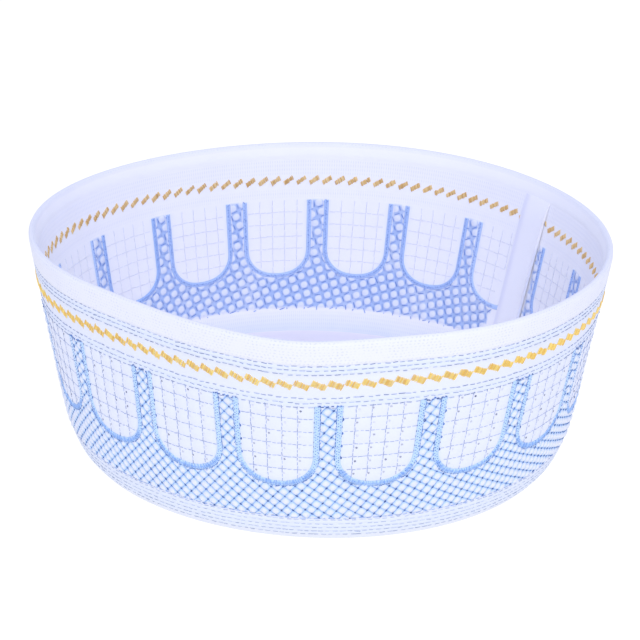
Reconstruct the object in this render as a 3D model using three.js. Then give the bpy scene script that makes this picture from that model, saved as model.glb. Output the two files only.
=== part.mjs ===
// Prayer cap of quilted white cotton, lying on its flat crown with the open rim upward.
// Millimetres, +Z up, origin on the surface under the middle of the cap, its front towards -Y.
import * as THREE from 'three';

// Driving dimensions
const RIM_RADIUS = 92; // a girth of about 580 round the opening
const CROWN_RADIUS = 79; // where the straight wall would meet the surface
const CROWN_SHIFT = -2; // the crown's middle lies a little to the left of the rim's
const HEIGHT = 71.3;
const FOOT_TUCK = 3.4; // the wall curls in by this much at the crown's edge
const FOOT_FADE = 5; // and within about this height of the surface
const CLOTH = 1.8; // two layers of cotton quilted together
const HEM_DEPTH = 7.5;
const HEM_ROUND = 0.6;
const FLAP_WIDTH = 14;
const FLAP_FACING = 28; // direction of the flap's folded edge, in degrees from +X
const FLAP_CLOTH = 1;
const FLAP_TOP = 8; // the flap ends this far below the rim, under the hem
const FLAP_FOOT = 3.5; // and starts this far above the surface
const GAP = 0.3; // between neighbouring pieces
const SEGMENTS = 126;
const BAND_ROWS = 9;
const ROW_GROWTH = 1.8; // rows lie closer together at the curled foot
const FLAP_STEPS = 6;

// Slow swells of the plan: how many lobes go round, how far each stands out, the way one faces
const RIM_SWELLS = [
  { lobes: 2, swell: 1.5, facing: 324 },
  { lobes: 3, swell: 1.1, facing: 53 },
  { lobes: 4, swell: 0.5, facing: 352 },
];
const CROWN_SWELLS = [{ lobes: 2, swell: 3.2, facing: 338 }];

// Folds of the wall, full at the rim and gone at the crown: the way each faces, its push and its spread
const FOLDS = [
  { facing: 228, push: -3.3, spread: 14 },
  { facing: 265, push: 2.1, spread: 7 },
  { facing: 285, push: -1.6, spread: 9 },
];

// The rim is not quite level: it stands highest towards the front and left
const RIM_TILT = { lift: 2.6, facing: 237 };

const radians = THREE.MathUtils.degToRad;

// Shortest way round from one direction to another, in degrees
function turnBetween(from, to) {
  return THREE.MathUtils.euclideanModulo(to - from + 180, 360) - 180;
}

// Distance from the middle of a plan curve to its line, in the direction of an angle in degrees
function planReach(radius, swells, angle) {
  let reach = radius;
  for (const { lobes, swell, facing } of swells) {
    reach += swell * Math.cos(lobes * radians(angle - facing));
  }
  return reach;
}

// How far the folds push the rim outward
function foldPush(angle) {
  let push = 0;
  for (const fold of FOLDS) {
    const apart = turnBetween(fold.facing, angle) / fold.spread;
    push += fold.push * Math.exp(-0.5 * apart * apart);
  }
  return push;
}

// Point on the outer face of the wall: up runs from 0 at the crown to 1 at the rim
function outerPoint(angle, up) {
  const foot = planReach(CROWN_RADIUS, CROWN_SWELLS, angle);
  const rim = planReach(RIM_RADIUS, RIM_SWELLS, angle) + foldPush(angle);
  const tuck = FOOT_TUCK * Math.exp((-up * HEIGHT) / FOOT_FADE);
  const reach = THREE.MathUtils.lerp(foot, rim, up) - tuck;
  const top = HEIGHT + RIM_TILT.lift * Math.cos(radians(angle - RIM_TILT.facing));
  const turn = radians(angle);
  return new THREE.Vector3(reach * Math.cos(turn) + CROWN_SHIFT * (1 - up), reach * Math.sin(turn), top * up);
}

// Middle of the cap's own box, which the origin stands under
const box = new THREE.Box3();
for (let step = 0; step < SEGMENTS; step += 1) {
  box.expandByPoint(outerPoint((360 * step) / SEGMENTS, 1));
}
const middle = box.getCenter(new THREE.Vector3()).setZ(0);

// Point at a depth inside the outer face, square to the wall; the foot is flat on the surface
function wallPoint(angle, up, depth) {
  const near = 0.01;
  const around = outerPoint(angle + 1, up).sub(outerPoint(angle - 1, up));
  const rise = outerPoint(angle, up + near).sub(outerPoint(angle, up));
  const inward = rise.cross(around).normalize();
  const point = outerPoint(angle, up).addScaledVector(inward, depth).sub(middle);
  if (up === 0) {
    point.z = 0;
  }
  return point;
}

// Skin over stations that each hold the same closed loop of points, as a ring or with both ends capped
function sweep(stations, isRing) {
  const count = stations[0].length;
  const index = [];
  const quad = (a, b, c, d) => index.push(a, b, c, a, c, d);
  const last = isRing ? stations.length : stations.length - 1;
  for (let station = 0; station < last; station += 1) {
    const here = station * count;
    const next = ((station + 1) % stations.length) * count;
    for (let row = 0; row < count; row += 1) {
      const above = (row + 1) % count;
      quad(here + row, next + row, next + above, here + above);
    }
  }
  if (!isRing) {
    const far = last * count;
    for (let row = 0; row < count / 2 - 1; row += 1) {
      const back = count - 1 - row;
      quad(row, row + 1, back - 1, back);
      quad(far + row, far + back, far + back - 1, far + row + 1);
    }
  }
  const geometry = new THREE.BufferGeometry().setFromPoints(stations.flat());
  geometry.setIndex(index);
  geometry.computeVertexNormals();
  return geometry;
}

// Ring of cloth round the cap from its section: points given by height up the wall and depth
function clothRing(section) {
  const stations = [];
  for (let step = 0; step < SEGMENTS; step += 1) {
    const angle = (360 * step) / SEGMENTS;
    stations.push(section.map(({ up, depth }) => wallPoint(angle, up, depth)));
  }
  return sweep(stations, true);
}

// Section of a wall of cloth: up its outer face, then down its inner face
function wallSection(bottom, top, outer, inner) {
  const heights = [];
  for (let row = 0; row <= BAND_ROWS; row += 1) {
    heights.push(THREE.MathUtils.lerp(bottom, top, (row / BAND_ROWS) ** ROW_GROWTH));
  }
  const front = heights.map((up) => ({ up, depth: outer }));
  const back = heights.reverse().map((up) => ({ up, depth: inner }));
  return [...front, ...back];
}

function clothMesh(name, geometry, color) {
  const material = new THREE.MeshStandardMaterial({ color, roughness: 0.9, metalness: 0 });
  const mesh = new THREE.Mesh(geometry, material);
  mesh.name = name;
  return mesh;
}

// Embroidered side wall, from the surface up to the hem
function band() {
  const top = 1 - HEM_DEPTH / HEIGHT;
  return clothMesh('band', clothRing(wallSection(0, top, 0, CLOTH)), 0xdbe7fb);
}

// Plain folded hem round the opening, with a soft upper edge
function rimHem() {
  const foot = 1 - (HEM_DEPTH - GAP) / HEIGHT;
  const shoulder = 1 - HEM_ROUND / HEIGHT;
  const section = [
    { up: foot, depth: 0 },
    { up: shoulder, depth: 0 },
    { up: 1, depth: HEM_ROUND },
    { up: 1, depth: CLOTH - HEM_ROUND },
    { up: shoulder, depth: CLOTH },
    { up: foot, depth: CLOTH },
  ];
  return clothMesh('rim_hem', clothRing(section), 0xf6f7ff);
}

// Flat crown inside the foot of the band
function crown() {
  const centre = new THREE.Vector3(CROWN_SHIFT, 0, 0).sub(middle);
  const bottom = [];
  const top = [];
  for (let step = 0; step < SEGMENTS; step += 1) {
    const edge = wallPoint((360 * step) / SEGMENTS, 0, CLOTH);
    edge.lerp(centre, GAP / edge.distanceTo(centre));
    bottom.push(edge);
    top.push(edge.clone().setZ(CLOTH));
  }
  const points = [...bottom, ...top, centre, centre.clone().setZ(CLOTH)];
  const under = 2 * SEGMENTS;
  const index = [];
  for (let step = 0; step < SEGMENTS; step += 1) {
    const next = (step + 1) % SEGMENTS;
    index.push(under, next, step);
    index.push(under + 1, SEGMENTS + step, SEGMENTS + next);
    index.push(step, next, SEGMENTS + next, step, SEGMENTS + next, SEGMENTS + step);
  }
  const geometry = new THREE.BufferGeometry().setFromPoints(points);
  geometry.setIndex(index);
  geometry.computeVertexNormals();
  return clothMesh('crown', geometry, 0xe9ecfb);
}

// Upright strip of cloth over the band's closing seam, against its inner face
function seamFlap() {
  const turn = THREE.MathUtils.radToDeg(FLAP_WIDTH / RIM_RADIUS);
  const bottom = FLAP_FOOT / HEIGHT;
  const top = 1 - FLAP_TOP / HEIGHT;
  const section = wallSection(bottom, top, CLOTH + GAP, CLOTH + GAP + FLAP_CLOTH);
  const stations = [];
  for (let step = 0; step <= FLAP_STEPS; step += 1) {
    const angle = FLAP_FACING + (turn * step) / FLAP_STEPS;
    stations.push(section.map(({ up, depth }) => wallPoint(angle, up, depth)));
  }
  return clothMesh('seam_flap', sweep(stations, false), 0xf1f2ff);
}

const prayerCap = new THREE.Group();
prayerCap.add(band(), rimHem(), crown(), seamFlap());

export default prayerCap;
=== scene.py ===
import bmesh
import bpy
import numpy as np
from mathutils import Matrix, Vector


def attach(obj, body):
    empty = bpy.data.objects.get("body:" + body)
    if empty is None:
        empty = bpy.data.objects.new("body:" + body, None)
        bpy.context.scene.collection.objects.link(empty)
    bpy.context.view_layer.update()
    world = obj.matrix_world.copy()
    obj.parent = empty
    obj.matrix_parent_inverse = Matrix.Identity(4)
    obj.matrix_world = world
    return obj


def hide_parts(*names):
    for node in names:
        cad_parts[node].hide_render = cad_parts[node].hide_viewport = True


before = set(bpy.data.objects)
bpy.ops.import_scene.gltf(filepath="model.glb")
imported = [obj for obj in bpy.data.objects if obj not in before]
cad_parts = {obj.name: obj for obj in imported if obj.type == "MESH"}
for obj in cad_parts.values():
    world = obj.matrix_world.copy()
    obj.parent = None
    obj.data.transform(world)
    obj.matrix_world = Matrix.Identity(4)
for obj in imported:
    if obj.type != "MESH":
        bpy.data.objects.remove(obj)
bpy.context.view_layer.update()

# Band: the tall side wall, two layers of white cotton quilted together and embroidered by machine.
# It is cut as a long strip, closed into a ring at one upright seam, and narrows towards the crown.
# Its sizes repeat the solid's, in millimetres and degrees.
MM = 0.001
RIM_RADIUS = 92
CROWN_RADIUS = 79
CROWN_SHIFT = -2
HEIGHT = 71.3
FOOT_TUCK = 3.4
FOOT_FADE = 5
CLOTH = 1.8
HEM_DEPTH = 7.5
SOLID_SEGMENTS = 126
RIM_SWELLS = [(2, 1.5, 324), (3, 1.1, 53), (4, 0.5, 352)]  # lobes, swell, facing
CROWN_SWELLS = [(2, 3.2, 338)]
FOLDS = [(228, -3.3, 14), (265, 2.1, 7), (285, -1.6, 9)]  # facing, push, spread
RIM_LIFT = 2.6
RIM_LIFT_FACING = 237


def plan_reach(radius, swells, angle):
    """Distance from the middle of a plan curve to its line, with its slow swells."""
    reach = radius + 0 * angle
    for lobes, swell, facing in swells:
        reach = reach + swell * np.cos(np.radians(lobes * (angle - facing)))
    return reach


def outer_face(angle, up):
    """Points of the outer face: up runs from nought at the crown to one at the rim."""
    foot = plan_reach(CROWN_RADIUS, CROWN_SWELLS, angle)
    rim = plan_reach(RIM_RADIUS, RIM_SWELLS, angle)
    for facing, push, spread in FOLDS:
        apart = ((angle - facing + 180) % 360 - 180) / spread
        rim = rim + push * np.exp(-0.5 * apart**2)
    reach = foot + (rim - foot) * up - FOOT_TUCK * np.exp(-up * HEIGHT / FOOT_FADE)
    top = HEIGHT + RIM_LIFT * np.cos(np.radians(angle - RIM_LIFT_FACING))
    turned = np.radians(angle)
    across = reach * np.cos(turned) + CROWN_SHIFT * (1 - up)
    return np.stack([across, reach * np.sin(turned), top * up], axis=-1)


rim_line = outer_face(np.arange(SOLID_SEGMENTS) * 360 / SOLID_SEGMENTS, np.ones(SOLID_SEGMENTS))
MIDDLE = (rim_line.min(axis=0) + rim_line.max(axis=0)) / 2 * [1, 1, 0]

# The embroidery counts its way round in arches, and its way up in millimetres of slope
SLANT = 72.3  # from the surface up the slope of the wall to the rim
ARCHES = 18
ARCH_PITCH = 30.3
GIRTH = ARCHES * ARCH_PITCH
GIRTH_UP = 0.6  # share of the slope where the arches are spaced out
FIRST_PILLAR = 0.583  # share of the girth from +X to the pillar that the count starts at
FRONT_EASE = 0.25  # degrees: the pattern lies a little further round at the front than at the back
SEAM_EASE = (27, 6, -1.3)  # and is drawn together at the closing seam: facing, spread, degrees
all_angles = np.linspace(0, 360, 3601)
girth_line = outer_face(all_angles, np.full(len(all_angles), GIRTH_UP))
girth_steps = np.linalg.norm(np.diff(girth_line, axis=0), axis=1)
girth_share = np.concatenate([[0], np.cumsum(girth_steps)]) / girth_steps.sum()


def angle_of(turn):
    """Direction in degrees where so many arches have been passed."""
    share = FIRST_PILLAR + turn / ARCHES
    angle = np.interp(share % 1, girth_share, all_angles)
    facing, spread, pull = SEAM_EASE
    drawn = pull * np.exp(-(((angle - facing) / spread) ** 2))
    ease = FRONT_EASE * (1 - np.sin(np.radians(angle))) + drawn
    return angle + ease + 360 * np.floor(share)


NEAR_ANGLE = 1
NEAR_UP = 0.01


def wall(turn, height, lift):
    """Points on the wall, in metres: lift is millimetres out from its outer face."""
    angle = angle_of(turn)
    up = height / SLANT
    point = outer_face(angle, up)
    around = outer_face(angle + NEAR_ANGLE, up) - outer_face(angle - NEAR_ANGLE, up)
    rise = outer_face(angle, up + NEAR_UP) - point
    outward = np.cross(around, rise)
    outward /= np.linalg.norm(outward, axis=-1, keepdims=True)
    point = (point - MIDDLE + outward * np.asarray(lift)[..., None]) * MM
    point[..., 2] = np.maximum(point[..., 2], 0)
    return point


ARCH_HALF = 12.0  # from the middle of an arch to the middle of its outline
ARCH_SPRING = 32.5  # where the round foot of the arch begins
ARCH_DROP = 10.2
ARCH_ROUNDNESS = 2.2
ARCH_TOP = 51.3
ARCH_BAND = 0.8  # half the width of the outline
ARCH_HEART = 0.01  # share of an arch round its middle, where no way leads to the outline


def arch_edge(turn, height):
    """Millimetres from the outline of the nearest arch: below nought inside it."""
    aside = np.abs(turn % 1 - 0.5) * ARCH_PITCH
    drop = np.maximum(ARCH_SPRING - height, 0)
    power = ARCH_ROUNDNESS
    size = ((aside / ARCH_HALF) ** power + (drop / ARCH_DROP) ** power) ** (1 / power)
    reach = np.hypot(aside, drop)
    return np.where(size < ARCH_HEART, -ARCH_HALF, reach - reach / np.maximum(size, ARCH_HEART))


def window(value, low, high, soft):
    """One between low and high, fading to nought over soft at each end."""
    return np.clip((value - low) / soft, 0, 1) * np.clip((high - value) / soft, 0, 1)


FLAP_FACING = 28  # the closing seam: direction of the folded edge of the flap that covers it
counted_turns = np.linspace(0, ARCHES, 2001)
SEAM_TURN = np.interp(FLAP_FACING + 360, angle_of(counted_turns), counted_turns)
SEAM_LEAN = 0.0011  # arches that the folded edge goes back for each millimetre down
SEAM_LEVEL = 58  # at the gold row
SEAM_PLAIN = 0.33  # width of the plain strip at that level, and its flare for each millimetre down
SEAM_FLARE = 0.0055
SEAM_MARGIN = 0.01
SEAM_BARE = 0.3  # on the outer face the net stops this far from the seam


def seam_fold(height):
    """Turn of the flap's folded edge."""
    return SEAM_TURN + SEAM_LEAN * (SLANT - height)


def at_seam(turn, height):
    """True on the plain strip inside the closing seam."""
    far = SEAM_TURN + SEAM_PLAIN + SEAM_FLARE * (SEAM_LEVEL - height)
    past = (turn - seam_fold(height) + SEAM_MARGIN) % ARCHES
    return past < far - seam_fold(height) + SEAM_MARGIN


# The band is cut as a piece of a wide flat ring, and the net is sewn squarely on it
STRIP_SWING = np.radians(3.887)  # an arch's share of that ring
STRIP_RADIUS = ARCH_PITCH / STRIP_SWING - GIRTH_UP * SLANT
STRIP_MIDDLE = 9.7  # arches from the seam to where the net's lines stand evenly
NET_FOOT = 9.5
NET_TOP = ARCH_TOP - 0.4
NET_CELL = 2.588  # side of a square of the net
NET_DIAGONAL = NET_CELL * 2**0.5
NET_START = (-0.126, -0.743)  # counts of its two families of lines at the middle of the strip's foot
SOFT_EDGE = 0.5


def strip_place(turn, height):
    """Place of the cloth on its flat strip: millimetres across from the middle, and up from its foot."""
    swing = ((turn - SEAM_TURN) % ARCHES - STRIP_MIDDLE) * STRIP_SWING
    reach = STRIP_RADIUS + height
    return reach * np.sin(swing), reach * np.cos(swing) - STRIP_RADIUS


def net_counts(turn, height):
    """How many rising and how many falling lines of the net have been passed."""
    across, up = strip_place(turn, height)
    return (across - up) / NET_DIAGONAL + NET_START[0], (across + up) / NET_DIAGONAL + NET_START[1]


def net_place(rising, falling):
    """Turn and height where the net has those counts."""
    rising = (rising - NET_START[0]) * NET_DIAGONAL / 2
    falling = (falling - NET_START[1]) * NET_DIAGONAL / 2
    across, up = falling + rising, falling - rising + STRIP_RADIUS
    turn = SEAM_TURN + STRIP_MIDDLE + np.arctan2(across, up) / STRIP_SWING
    return turn, np.hypot(across, up) - STRIP_RADIUS


def stuffing(counts):
    """Height of the stuffed cells between the counted lines of a net, from nought on a line to one."""
    return np.abs(np.sin(np.pi * counts[0]) * np.sin(np.pi * counts[1]))


def net_ground(turn, height):
    """One on the ground of the net, nought in the arches, above it and below it."""
    between = window(arch_edge(turn, height), ARCH_BAND, np.inf, SOFT_EDGE)
    return between * window(height, NET_FOOT, NET_TOP, SOFT_EDGE)


def net_room(turn, height):
    """The ground of the net on the outer face, where the closing seam is plain."""
    from_seam = ((turn - SEAM_TURN + ARCHES / 2) % ARCHES - ARCHES / 2) * ARCH_PITCH
    return net_ground(turn, height) * window(np.abs(from_seam), SEAM_BARE, np.inf, SOFT_EDGE)


# Each kind of cell has a puff in millimetres, and a power that makes it fuller the smaller it is
GRID_UPRIGHTS = (-7.4, -2.8, 1.8, 6.4)
GRID_ROWS = (27.9, 32.5, 37.1, 41.7, 46.3)
GRID_CELL = 4.62
FOOT_ROWS = (2.4, 4.0, 5.6, 7.2, 8.7)
LOW_ROWS = (50.5, 51.9, 53.6)
HIGH_ROWS = (61.6, 63.1, 64.5)
NET_PUFF = 0.72
NET_POWER = 0.6
CELL_PUFF = 0.32
CELL_POWER = 0.9
ROW_PUFF = 0.3
GOLD_PUFF = 0.3
GOLD_POWER = 0.5
PANEL_FADE = 0.8


def row_puff(height, rows):
    puff = 0 * height
    for low, high in zip(rows[:-1], rows[1:]):
        puff = puff + np.sin(np.pi * np.clip((height - low) / (high - low), 0, 1))
    return puff


def quilting(turn, height):
    """How far the stuffed cells of the outer layer stand out, in millimetres."""
    edge = arch_edge(turn, height)
    puff = NET_PUFF * stuffing(net_counts(turn, height)) ** NET_POWER * net_room(turn, height)
    aside = (turn % 1 - 0.5) * ARCH_PITCH
    squares = np.abs(np.sin(np.pi * (aside - GRID_UPRIGHTS[0]) / GRID_CELL))
    squares = squares * np.abs(np.sin(np.pi * (height - GRID_ROWS[0]) / GRID_CELL))
    panel = window(-edge, ARCH_BAND, np.inf, PANEL_FADE) * window(height, 0, ARCH_TOP, 1)
    puff = puff + CELL_PUFF * squares**CELL_POWER * panel
    for rows in (FOOT_ROWS, LOW_ROWS, HIGH_ROWS):
        puff = puff + ROW_PUFF * row_puff(height, rows)
    return puff + GOLD_PUFF * row_puff(height, (LOW_ROWS[-1], HIGH_ROWS[0])) ** GOLD_POWER


INNER_STEEP_PER_ARCH = 7.5
INNER_SHALLOW_PER_ARCH = 3
INNER_STEEP_LEAN = 0.331  # millimetres round for each millimetre up
INNER_SHALLOW_DROP = 0.394  # millimetres down for each millimetre round
INNER_PITCH = 28.0  # an arch measured round the inside, at the net
INNER_PUFF = 0.35
INNER_POWER = 1.3
INNER_LINES = (
    (ARCHES * INNER_STEEP_PER_ARCH, -INNER_STEEP_LEAN * SLANT / INNER_PITCH * INNER_STEEP_PER_ARCH),
    (ARCHES * INNER_SHALLOW_PER_ARCH, SLANT / INNER_SHALLOW_DROP / INNER_PITCH * INNER_SHALLOW_PER_ARCH),
)  # counts of two families of lines once round, and up the whole slope


def inner_counts(turn, height):
    """How many steep and how many shallow lines of the net's wrong side have been passed."""
    return [around * turn / ARCHES + upward * height / SLANT for around, upward in INNER_LINES]


def inner_quilting(turn, height):
    """How far the cells of the inner layer stand in, as millimetres below nought."""
    room = net_ground(turn, height) * ~at_seam(turn, height)
    return -INNER_PUFF * stuffing(inner_counts(turn, height)) ** INNER_POWER * room


DYE_SPREAD = 0.8  # millimetres that dye has run from an outline into the cloth
ROW_FADE = 0.4
OUTLINE_DYE = 0.55
INNER_OUTLINE_DYE = 0.4
ROW_DYE = 0.15
# Painted shade: the wrong side darkens towards its foot, by the crown
INNER_FOOT_SHADE = 0.45


def outline_dye(turn, height):
    return np.exp(-np.abs(arch_edge(turn, height)) / DYE_SPREAD) * window(height, 0, ARCH_TOP, SOFT_EDGE)


def outer_tint(turn, height):
    """How much the dye of the outlines and rows clouds the cloth round them, and the room of the net, where
    the material paints shade in the grooves round its cells.
    """
    row_dye = 0
    for share, rows in ((1, LOW_ROWS), (1, HIGH_ROWS), (0.8, FOOT_ROWS)):
        row_dye = row_dye + share * window(height, rows[0], rows[-1], ROW_FADE)
    dye = OUTLINE_DYE * outline_dye(turn, height) + ROW_DYE * row_dye
    return np.clip(dye, 0, 1), net_room(turn, height)


def inner_tint(turn, height):
    """The same on the wrong side, with painted shade that makes the cloth bluer and darker towards its foot,
    by the crown.
    """
    foot = INNER_FOOT_SHADE * np.clip(1 - height / NET_FOOT, 0, 1)
    embroidered = ~at_seam(turn, height)
    # dye here also carries the painted shade at the foot
    dye = INNER_OUTLINE_DYE * outline_dye(turn, height) * embroidered + foot
    return dye, net_ground(turn, height) * embroidered


def lay_cloth(shell, columns, turns, heights, lifts, relief, tint, face, settle=None):
    """Lays a grid of cloth on the wall, with its own UV map; face picks the material."""
    layers = shell.verts.layers.float
    cast_layer = layers.get("cast") or layers.new("cast")
    net_layer = layers.get("net") or layers.new("net")
    cloth_map = shell.loops.layers.uv.get("cloth") or shell.loops.layers.uv.new("cloth")
    rows = len(heights) - 1
    before = set(shell.faces)
    verts = bmesh.ops.create_grid(shell, x_segments=columns, y_segments=rows, size=0.5)["verts"]
    place = np.array([vert.co[:2] for vert in verts]) + 0.5
    row = place[:, 1] * rows
    steps = np.arange(rows + 1)
    near, far = (np.interp(row, steps, np.broadcast_to(edge, rows + 1)) for edge in turns)
    turn = near + place[:, 0] * (far - near)
    height = np.interp(row, steps, heights)
    run = np.concatenate([[0], np.cumsum(np.hypot(np.diff(heights), np.diff(lifts)))]) + heights[0]
    upward = np.interp(row, steps, run) - height
    if settle:
        turn, height = settle(turn, height)
    upward = (upward + height) / SLANT
    lift = np.interp(row, steps, lifts) + relief(turn, height)
    points = wall(turn, height, lift)
    cast, net = tint(turn, height)
    spot = {}
    for vert, point, u, v, cast_share, net_share in zip(verts, points, turn / ARCHES, upward, cast, net):
        vert.co = point
        vert[cast_layer] = cast_share
        vert[net_layer] = net_share
        spot[vert] = (u, v)
    for polygon in set(shell.faces) - before:
        polygon.material_index = face
        polygon.smooth = True
        for loop in polygon.loops:
            loop[cloth_map].uv = spot[loop.vert]
    return verts, turn, height


def bridge_cloth(shell, low, high):
    """Closes the cloth between the two open edges whose points lie between two heights in metres."""
    edges = []
    for edge in shell.edges:
        if edge.is_boundary and all(low <= vert.co.z <= high for vert in edge.verts):
            edges.append(edge)
    for edge in edges:
        edge.smooth = False
    bmesh.ops.bridge_loops(shell, edges=edges)


def add_piece(shell, name, materials):
    mesh = bpy.data.meshes.new(name)
    shell.to_mesh(mesh)
    shell.free()
    for material in materials:
        mesh.materials.append(material)
    piece = bpy.data.objects.new(name, mesh)
    bpy.context.scene.collection.objects.link(piece)
    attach(piece, "root")
    return piece


def finish_cloth(shell, name, materials):
    bmesh.ops.recalc_face_normals(shell, faces=shell.faces)
    return add_piece(shell, name, materials)


def new_material(name, roughness, sheen):
    material = bpy.data.materials.new(name)
    material.use_nodes = True
    shader = material.node_tree.nodes["Principled BSDF"]
    shader.inputs["Roughness"].default_value = roughness
    shader.inputs["Sheen Weight"].default_value = sheen
    shader.inputs["Sheen Roughness"].default_value = 0.5
    shader.inputs["Specular IOR Level"].default_value = 0.2
    return material, shader


def add_node(material, kind, inputs, output=0, **settings):
    """Adds a shader node, whose inputs are values or other nodes' outputs, and gives one of its outputs."""
    node = material.node_tree.nodes.new(kind)
    for key, value in settings.items():
        setattr(node, key, value)
    for key, value in inputs.items():
        if isinstance(value, bpy.types.NodeSocket):
            material.node_tree.links.new(value, node.inputs[key])
        else:
            node.inputs[key].default_value = value
    return node.outputs[output]


def arithmetic(material, operation, *values):
    return add_node(material, "ShaderNodeMath", dict(enumerate(values)), operation=operation)


def vector_arithmetic(material, operation, *values, output=0):
    return add_node(material, "ShaderNodeVectorMath", dict(enumerate(values)), output, operation=operation)


def ramp(material, value, low, high, start=0.0, end=1.0, **settings):
    """Goes from start to end as the value goes from low to high."""
    inputs = {0: value, 1: low, 2: high, 3: start, 4: end}
    return add_node(material, "ShaderNodeMapRange", inputs, **settings)


def mix_colours(material, share, first, second):
    inputs = {0: share, 6: first, 7: second}
    return add_node(material, "ShaderNodeMix", inputs, 2, data_type="RGBA", clamp_factor=True)


def noise(material, place, scale, detail=2.0, output="Fac"):
    inputs = {"Vector": place, "Scale": scale, "Detail": detail}
    return add_node(material, "ShaderNodeTexNoise", inputs, output)


def attribute(material, name):
    return add_node(material, "ShaderNodeAttribute", {}, "Fac", attribute_name=name)


def part_of(material, place, axis):
    return add_node(material, "ShaderNodeSeparateXYZ", {0: place}, axis)


def dress(material, shader, colour, relief):
    """Gives the shader its colour and a bump."""
    material.node_tree.links.new(colour, shader.inputs["Base Color"])
    material.node_tree.links.new(add_node(material, "ShaderNodeBump", relief), shader.inputs["Normal"])


def linear(red, green, blue):
    """Colour for a shader from the eight-bit values of a screen colour."""
    share = np.array([red, green, blue]) / 255
    low = share / 12.92
    high = ((share + 0.055) / 1.055) ** 2.4
    return (*np.where(share <= 0.04045, low, high).tolist(), 1.0)


def net_count_nodes(material, place):
    """Counts of the net's lines as net_counts gives them, worked out in the material from the cloth's UV."""
    turn = part_of(material, place, "X")
    height = part_of(material, place, "Y")
    past = arithmetic(material, "MULTIPLY_ADD", turn, ARCHES, -SEAM_TURN)
    past = arithmetic(material, "FLOORED_MODULO", past, ARCHES)
    swing = arithmetic(material, "MULTIPLY_ADD", past, STRIP_SWING, -STRIP_MIDDLE * STRIP_SWING)
    foot = STRIP_RADIUS / NET_DIAGONAL
    reach = arithmetic(material, "MULTIPLY_ADD", height, SLANT / NET_DIAGONAL, foot)
    across = arithmetic(material, "MULTIPLY", arithmetic(material, "SINE", swing), reach)
    up = arithmetic(material, "MULTIPLY", arithmetic(material, "COSINE", swing), reach)
    rising = arithmetic(material, "SUBTRACT", across, up)
    falling = arithmetic(material, "ADD", across, up)
    return (
        arithmetic(material, "ADD", rising, NET_START[0] + foot),
        arithmetic(material, "ADD", falling, NET_START[1] - foot),
    )


def inner_count_nodes(material, place):
    """Counts of the lines on the wrong side as inner_counts gives them."""
    counts = []
    for around, upward in INNER_LINES:
        steps = (around, upward, 0)
        counts.append(vector_arithmetic(material, "DOT_PRODUCT", place, steps, output="Value"))
    return counts


def stuffing_nodes(material, counts):
    swells = []
    for count in counts:
        wave = arithmetic(material, "SINE", arithmetic(material, "MULTIPLY", count, np.pi))
        swells.append(arithmetic(material, "ABSOLUTE", wave))
    return arithmetic(material, "MULTIPLY", *swells)


THREAD_PITCH = 0.42
WAVE_UNIT = 0.314159  # a scale at which one band of a wave texture is one unit long
FUZZ_SCALE = 1100.0
PATCH_SCALE = 70.0
PATCH_EDGE = (0.45, 0.75)
PATCH_SHARE = 0.35
PATCH_DIM = 0.95


def cotton(name, plain, cast, count_nodes=None, cushion=(0.6, 0.14), wash=0.0, marks=None):
    """Woven cotton: plain colour, a blue cast where the attributes say, a net's cells with painted blue
    shade in the grooves round them, partly the threads' own blue, and optional marks.
    """
    material, shader = new_material(name, roughness=0.88, sheen=0.12)
    place = add_node(material, "ShaderNodeUVMap", {}, "UV", uv_map="cloth")
    body = add_node(material, "ShaderNodeTexCoord", {}, "Object")
    scale = (GIRTH / THREAD_PITCH, SLANT / THREAD_PITCH, 1)
    threads = add_node(material, "ShaderNodeMapping", {"Vector": place, "Scale": scale})
    wave = {"Vector": threads, "Scale": WAVE_UNIT, "Distortion": 0.6, "Detail": 1.0}
    warp = add_node(material, "ShaderNodeTexWave", wave, "Fac", bands_direction="X")
    weft = add_node(material, "ShaderNodeTexWave", wave, "Fac", bands_direction="Y")
    weave = arithmetic(material, "MULTIPLY", warp, weft)
    fuzz = noise(material, body, FUZZ_SCALE, 3.0)
    grain = arithmetic(material, "MULTIPLY_ADD", fuzz, weave, 0.5)
    relief = {"Height": grain, "Strength": 0.35, "Distance": 0.00025}
    tint = attribute(material, "cast")
    if count_nodes:
        cells = stuffing_nodes(material, count_nodes(material, place))
        room = attribute(material, "net")
        # Painted shade: the cloth turns towards the cast colour in the grooves round the cells, partly the
        # blue of the threads there
        groove_shade = ramp(material, cells, *cushion, wash, 1.0, interpolation_type="SMOOTHSTEP")
        tint = arithmetic(material, "MULTIPLY_ADD", groove_shade, room, tint)
        raised = arithmetic(material, "MULTIPLY", cells, room)
        swell = {"Height": raised, "Strength": 0.5, "Distance": 0.0006}
        relief["Normal"] = add_node(material, "ShaderNodeBump", swell)
    colour = mix_colours(material, tint, plain, cast)
    patchy = ramp(material, noise(material, body, PATCH_SCALE, 3.0), *PATCH_EDGE, 0.0, PATCH_SHARE)
    dim = tuple(PATCH_DIM * part for part in plain[:3]) + (1.0,)
    colour = mix_colours(material, patchy, colour, dim)
    if marks:
        colour = marks(material, place, colour)
    dress(material, shader, colour, relief)
    return material


BAND_TOP = SLANT * (1 - HEM_DEPTH / HEIGHT)
INNER_TOP = BAND_TOP + 1.8  # the hem is narrower on the inside
TICKS_PER_ARCH = 36
TICK_STRIPS = ((1.5, NET_FOOT - 0.8), (ARCH_TOP + 0.2, 55.0), (60.0, INNER_TOP - 0.3))
TICK_FADE = 0.8
TICK_ROW = 1.5
TICK_THIN = 0.55  # the higher, the thinner the ticks
TICK_SHARES = (0.04, 0.22)  # of grey between the rows and on them
TICK_GREY = linear(178, 188, 226)


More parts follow.
